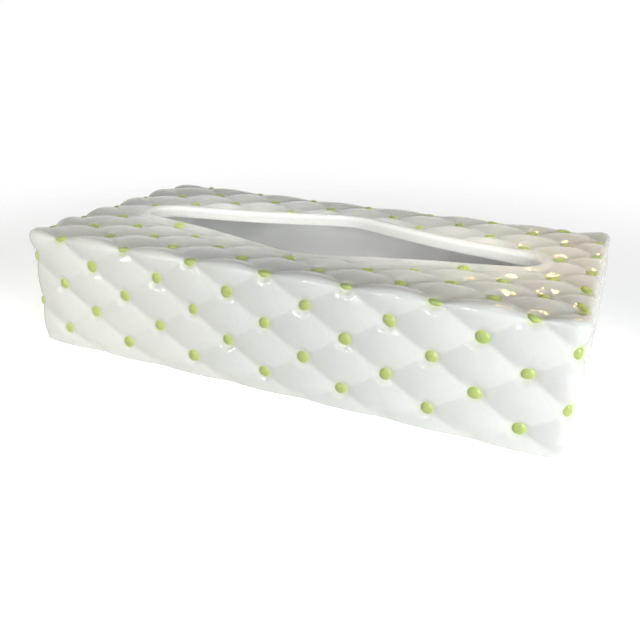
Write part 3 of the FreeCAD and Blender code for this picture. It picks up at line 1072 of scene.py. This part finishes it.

# %% [markdown]
# ## The white glaze
# One material covers the casting, because on the real one the same glaze runs
# over everything but the foot, where it was wiped off before firing so that the
# cover wouldn't stick to the kiln shelf. The mesh carries four marks that the
# material reads: how far the quilt swells, how near the next dot is, where the
# foot is bare and where the inside begins. The swell sets painted shade in the
# valleys, and the inside is painted a lighter white, as painted light where the
# cover shades it.

# %% Glaze material
WHITE_GLAZE = ((0.850, 0.848, 0.795), (0.810, 0.806, 0.748))
# Painted shade: a grey for the valleys and a darker grey for the valleys of the level top.
SEAM_SHADE = (0.690, 0.700, 0.640)
TOP_SEAM_SHADE = (0.600, 0.605, 0.540)
STAIN = (0.700, 0.790, 0.380)
# Painted light: the inside is a lighter white than the outer glaze.
LIGHTENED_INSIDE = (0.930, 0.928, 0.912)
PINHOLE = (0.42, 0.36, 0.27)
BARE_CLAY = ((0.69, 0.62, 0.51), (0.78, 0.73, 0.64))
# A band is the span of a value that is read, then the span that it becomes.
SEAM_SHADE_BAND = (0.50, 0.08, 0.0, 0.28)
TOP_SEAM_SHADE_BAND = (0.95, 0.25, 0.0, 0.60)
HALO_BAND = (0.0041, 0.0029, 0.0, 0.55)
STAIN_BAND = (0.2, 0.8, 0.35, 1.0)
BARE_BAND = (0.45, 0.62)
GLOSS_BAND = (0.0, 1.0, 0.06, 0.10)
PINHOLE_SHARE = 0.45
PINHOLE_DEPTH = -0.12
CLAY_GRAIN = 0.25
INSIDE_DULLNESS = 0.12
CLAY_DULLNESS = 0.75
GLAZE_IOR = 1.52
GLAZE_RELIEF = 0.0009
RELIEF_STRENGTH = 0.45


def mark_of(tree, name):
    """The value that the mesh stores under a name."""
    return add_node(tree, "ShaderNodeAttribute", attribute_name=name).outputs["Fac"]


def new_material(name):
    """A material with its nodes and its shader."""
    material = bpy.data.materials.new(name)
    material.use_nodes = True
    return material, material.node_tree, material.node_tree.nodes["Principled BSDF"]


def emboss(tree, shader, height, distance):
    """Let a height shade a material as fine relief."""
    bump = add_node(tree, "ShaderNodeBump", Strength=RELIEF_STRENGTH, Distance=distance)
    feed(tree, bump.inputs["Height"], height)
    feed(tree, shader.inputs["Normal"], bump.outputs["Normal"])


def make_glaze():
    """White gloss glaze: painted shade in the valleys, painted light inside, a bare foot."""
    material, tree, shader = new_material("white_gloss_glaze")
    swell = mark_of(tree, "swell")
    inside = mark_of(tree, "inside")
    clouds = place_group(tree, cloudy_tone, Scale=14.0, Contrast=1.3)
    body = tint(tree, clouds, *WHITE_GLAZE)
    # Painted shade: the low places of the quilt, seams and tufts, turn towards a grey, partly also
    # for glaze pooled there.
    body = tint(tree, band(tree, swell, *SEAM_SHADE_BAND), body, SEAM_SHADE)
    level = place_group(tree, level_places, Low=0.35, High=0.85)
    # Painted shade: on the level top the valleys darken further, to a deeper grey.
    body = tint(tree, times(tree, band(tree, swell, *TOP_SEAM_SHADE_BAND), level), body, TOP_SEAM_SHADE)
    halo = band(tree, mark_of(tree, "dot_gap"), *HALO_BAND)
    stained = place_group(tree, cloudy_tone, Scale=260.0, Contrast=2.2)
    halo = times(tree, halo, band(tree, stained, *STAIN_BAND))
    body = tint(tree, halo, body, STAIN)
    # Painted light: the inside is lifted to a lighter white than the outer glaze, where the cover
    # shades it.
    body = tint(tree, inside, body, LIGHTENED_INSIDE)
    marks = place_group(tree, pin_marks, Scale=95.0, Size=0.035, Share=0.10)
    body = tint(tree, times(tree, marks, PINHOLE_SHARE), body, PINHOLE)

    grain = place_group(tree, cloudy_tone, Scale=1500.0, Contrast=1.8)
    ragged = place_group(tree, cloudy_tone, Scale=220.0, Contrast=1.0)
    ragged = math_node(tree, "SUBTRACT", ragged, 0.5)
    bare = band(tree, plus(tree, mark_of(tree, "bare"), ragged), *BARE_BAND)
    body = tint(tree, bare, body, tint(tree, grain, *BARE_CLAY))
    feed(tree, shader.inputs["Base Color"], body)

    gloss = band(tree, clouds, *GLOSS_BAND)
    gloss = plus(tree, gloss, times(tree, inside, INSIDE_DULLNESS))
    gloss = plus(tree, gloss, times(tree, bare, CLAY_DULLNESS), True)
    feed(tree, shader.inputs["Roughness"], gloss)
    shader.inputs["IOR"].default_value = GLAZE_IOR

    peel = place_group(tree, orange_peel, Dimple_Scale=520.0, Wave_Scale=150.0, Wave_Share=0.7)
    rough = times(tree, times(tree, grain, bare), CLAY_GRAIN)
    sunk = times(tree, marks, PINHOLE_DEPTH)
    emboss(tree, shader, plus(tree, peel, plus(tree, rough, sunk)), GLAZE_RELIEF)
    return material


glaze = make_glaze()
shell.data.materials.append(glaze)

# %% [markdown]
# ## The enamel
# The dots are a yellow-green enamel, painted over the glaze and fired again. Its
# tone drifts within a dot and a few darker specks lie in it. The random value
# that Blender gives each mesh island sets one dot a little apart from the next,
# as hand work does.

# %% Enamel material
GREEN = ((0.410, 0.535, 0.130), (0.520, 0.620, 0.205))
PALE_GREEN = (0.590, 0.645, 0.235)
PALE_SHARE = 0.45
SPECKLE = (0.28, 0.40, 0.06)
SPECKLE_SHARE = 0.35
ENAMEL_GLOSS_BAND = (0.0, 1.0, 0.24, 0.36)
ENAMEL_RELIEF = 0.0004


def make_enamel():
    """Yellow-green gloss enamel, each dot a little different."""
    material, tree, shader = new_material("green_enamel")
    clouds = place_group(tree, cloudy_tone, Scale=420.0, Contrast=1.6)
    island = add_node(tree, "ShaderNodeNewGeometry").outputs["Random Per Island"]
    colour = tint(tree, clouds, *GREEN)
    colour = tint(tree, times(tree, island, PALE_SHARE), colour, PALE_GREEN)
    marks = place_group(tree, pin_marks, Scale=900.0, Size=0.16, Share=0.12)
    colour = tint(tree, times(tree, marks, SPECKLE_SHARE), colour, SPECKLE)
    feed(tree, shader.inputs["Base Color"], colour)
    feed(tree, shader.inputs["Roughness"], band(tree, clouds, *ENAMEL_GLOSS_BAND))
    peel = place_group(tree, orange_peel, Dimple_Scale=1400.0, Wave_Scale=420.0, Wave_Share=0.6)
    emboss(tree, shader, peel, ENAMEL_RELIEF)
    return material


enamel = make_enamel()
for piece in dot_pieces.values():
    piece.data.materials.append(enamel)
print("materials", [item.name for item in bpy.data.materials if item.users])

# %% [markdown]
# ## Telling the frame what is what
# Every piece rides on the one body, and each takes the place of its solid. The
# solids stay in the frame untouched and are hidden by that.

# %% Ride and replace
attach(shell, "root")
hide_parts("ceramic_shell")
for name, piece in dot_pieces.items():
    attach(piece, "root")
    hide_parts(name)
print("pieces", 1 + len(dot_pieces))

# %% [markdown]
# ## The floor
# The cover stands on a pale floor that keeps its shadow and fades into the
# background. A glow that the camera and the glaze see, but that lights nothing,
# keeps it pale under modest lamps.

# %% Floor
FLOOR_REACH = 1.6
FLOOR_LIT = (0.86, 0.86, 0.85)
FLOOR_GLOW = (0.56, 0.56, 0.56)
FLOOR_FADE = (0.18, 0.50, 1.0, 0.0)
FLOOR_ROUGHNESS = 0.9
WHITE = (1.0, 1.0, 1.0)
BLACK = (0.0, 0.0, 0.0)


def seen_mask(tree, path):
    """Mask of the rays that see a thing itself and not only the light it gives."""
    seen = plus(tree, path.outputs["Is Camera Ray"], path.outputs["Is Glossy Ray"])
    return plus(tree, seen, path.outputs["Is Transmission Ray"], True)


def make_floor():
    """A pale floor that keeps the shadow of the cover and fades into the backdrop."""
    mesh = bpy.data.meshes.new("floor")
    mesh.from_pydata([(x * FLOOR_REACH, y * FLOOR_REACH, 0) for x, y in SIGNS], [], [range(4)])
    material, tree, shader = new_material("pale_floor")
    seen = seen_mask(tree, add_node(tree, "ShaderNodeLightPath"))
    feed(tree, shader.inputs["Base Color"], tint(tree, seen, FLOOR_LIT, WHITE))
    feed(tree, shader.inputs["Emission Color"], tint(tree, seen, BLACK, FLOOR_GLOW))
    shader.inputs["Emission Strength"].default_value = 1.0
    away = add_node(tree, "ShaderNodeVectorMath", operation="LENGTH", Vector=place_of(tree))
    feed(tree, shader.inputs["Alpha"], band(tree, away.outputs["Value"], *FLOOR_FADE))
    shader.inputs["Roughness"].default_value = FLOOR_ROUGHNESS
    shader.inputs["Specular IOR Level"].default_value = 0.0
    mesh.materials.append(material)
    floor = set_out("floor", mesh)
    return floor


floor = make_floor()
print("floor", [round(side, 2) for side in floor.dimensions])

# %% [markdown]
# ## The lamps in front
# A glossy white object shows its shape mostly through what it mirrors, so the
# lamps are panels with clear edges: their bent reflections draw every pillow.
# The large ones give the light, the panes short streaks, the grids a narrow
# beam and the warm one golden glints. All stay modest, so that the white keeps
# its own tone, and the camera doesn't see them.

# %% Lamps


def panel(name, place, target, width, depth, power, colour=WHITE, spread=180):
    """A rectangular soft lamp that faces a target, with a beam of some degrees."""
    lamp = bpy.data.lights.new(name, "AREA")
    lamp.shape = "RECTANGLE"
    lamp.size = width
    lamp.size_y = depth
    lamp.energy = power
    lamp.color = colour
    lamp.spread = math.radians(spread)
    holder = set_out(name, lamp)
    way = Vector(target) - Vector(place)
    holder.location = place
    holder.rotation_euler = way.to_track_quat("-Z", "Y").to_euler()
    holder.visible_camera = False
    return holder


TARGET = (0.0, 0.0, 0.03)
WARM = (1.0, 0.985, 0.94)
COOL = (0.94, 1.0, 1.05)
IVORY = (1.0, 0.96, 0.86)
AMBER = (1.0, 0.64, 0.16)
NEAR_RIGHT = (0.06, 0.0, 0.03)
LEFT_FRONT = (-0.13, -0.07, 0.03)
SLOT = (0.0, 0.01, 0.05)
RIGHT_TOP = (0.11, 0.0, 0.05)
GLINTS = (0.125, 0.0, 0.058)
panel("low_key", (0.555, -0.962, 0.33), TARGET, 0.35, 0.35, 0.45, WARM)
panel("high_key", (0.48, -0.87, 0.60), TARGET, 0.60, 0.35, 0.70, WARM)
panel("near_right", (0.52, -0.42, 0.19), NEAR_RIGHT, 0.18, 0.18, 2.80, COOL)
panel("left_grid", (-0.04, -0.42, 0.40), LEFT_FRONT, 0.10, 0.10, 0.025, IVORY, 30)
panel("slot_grid", (0.0, -0.20, 0.40), SLOT, 0.20, 0.05, 0.032, spread=16)
panel("end_grid", (0.12, -0.15, 0.45), RIGHT_TOP, 0.06, 0.14, 0.002, spread=16)
panel("warm_lamp", (0.115, 0.34, 0.54), GLINTS, 0.10, 0.02, 0.014, AMBER, 20)
for name, place in (("left_pane", (-0.40, -1.15, 0.70)), ("right_pane", (-0.25, -1.19, 0.70))):
    panel(name, place, TARGET, 0.08, 0.26, 0.40)
for name, place in (
    ("streak_pane_1", (-0.57, -0.90, 0.28)),
    ("streak_pane_2", (-0.36, -1.00, 0.28)),
    ("streak_pane_3", (-0.13, -1.06, 0.28)),
):
    panel(name, place, TARGET, 0.12, 0.05, 0.55)
print("lamps in front", len(bpy.data.lights))

# %% [markdown]
# ## The panels behind
# The panels above stand in front, so the far walls would be dark from behind.
# Low panels round the back light them at the same plain level. They light
# without a reflection of their own, because they would draw bars across the top.

# %% Panels behind
for name, place, power in (
    ("back_right_fill", (0.45, 1.05, 0.14), 2.9),
    ("back_left_fill", (-0.75, 0.85, 0.16), 2.0),
    ("left_end_fill", (-1.10, 0.25, 0.15), 2.3),
    ("right_end_fill", (1.10, 0.25, 0.15), 0.6),
):
    panel(name, place, TARGET, 0.50, 0.20, power, WARM).visible_glossy = False
print("lamps in all", len(bpy.data.lights))

# %% [markdown]
# ## The surroundings
# The background is white, like paper behind a studio table, but gives little
# light. Overhead the glaze mirrors a darker room, so the top's seams stay clear.

# %% World
AMBIENT = (0.04, 0.04, 0.04)
DARK_ROOM = (0.25, 0.25, 0.25)
OVERHEAD_BAND = (0.34, 0.72)


def make_world():
    """White surroundings that give little light and look darker overhead in the glaze."""
    world = bpy.data.worlds.new("studio")
    world.use_nodes = True
    tree = world.node_tree
    path = add_node(tree, "ShaderNodeLightPath")
    facing = add_node(tree, "ShaderNodeTexCoord").outputs["Generated"]
    split = add_node(tree, "ShaderNodeSeparateXYZ", Vector=facing)
    overhead = band(tree, split.outputs["Z"], *OVERHEAD_BAND)
    overhead = times(tree, overhead, path.outputs["Is Glossy Ray"])
    backdrop = tint(tree, overhead, WHITE, DARK_ROOM)
    colour = tint(tree, seen_mask(tree, path), AMBIENT, backdrop)
    feed(tree, tree.nodes["Background"].inputs["Color"], colour)
    return world


bpy.context.scene.world = make_world()
bpy.context.scene.view_settings.view_transform = "Standard"

# %% [markdown]
# ## The camera
# The camera stands where the photograph was taken from. Its place, turn and
# lens were worked out from the dots, which lie on a known lattice.

# %% Camera
RIGHT = Vector((0.9145, 0.4041, 0.0215))
UPWARD = Vector((-0.1734, 0.3433, 0.9231))
EYE = Vector((0.1322, -0.3123, 0.1508))
LENS_MM = 39.0
SENSOR_MM = 36.0
NEAREST = 0.01


def make_camera():
    """The camera at the height, turn and reach of the photograph's view."""
    lens = bpy.data.cameras.new("view")
    lens.lens = LENS_MM
    lens.sensor_width = SENSOR_MM
    lens.clip_start = NEAREST
    right = RIGHT.normalized()
    upward = (UPWARD - right * UPWARD.dot(right)).normalized()
    turn = Matrix((right, upward, right.cross(upward))).transposed().to_4x4()
    holder = set_out("view", lens)
    holder.matrix_world = Matrix.Translation(EYE) @ turn
    bpy.context.scene.camera = holder
    return holder


camera = make_camera()
print("camera at", np.round(np.array(camera.matrix_world.translation) * 1000, 1), "mm")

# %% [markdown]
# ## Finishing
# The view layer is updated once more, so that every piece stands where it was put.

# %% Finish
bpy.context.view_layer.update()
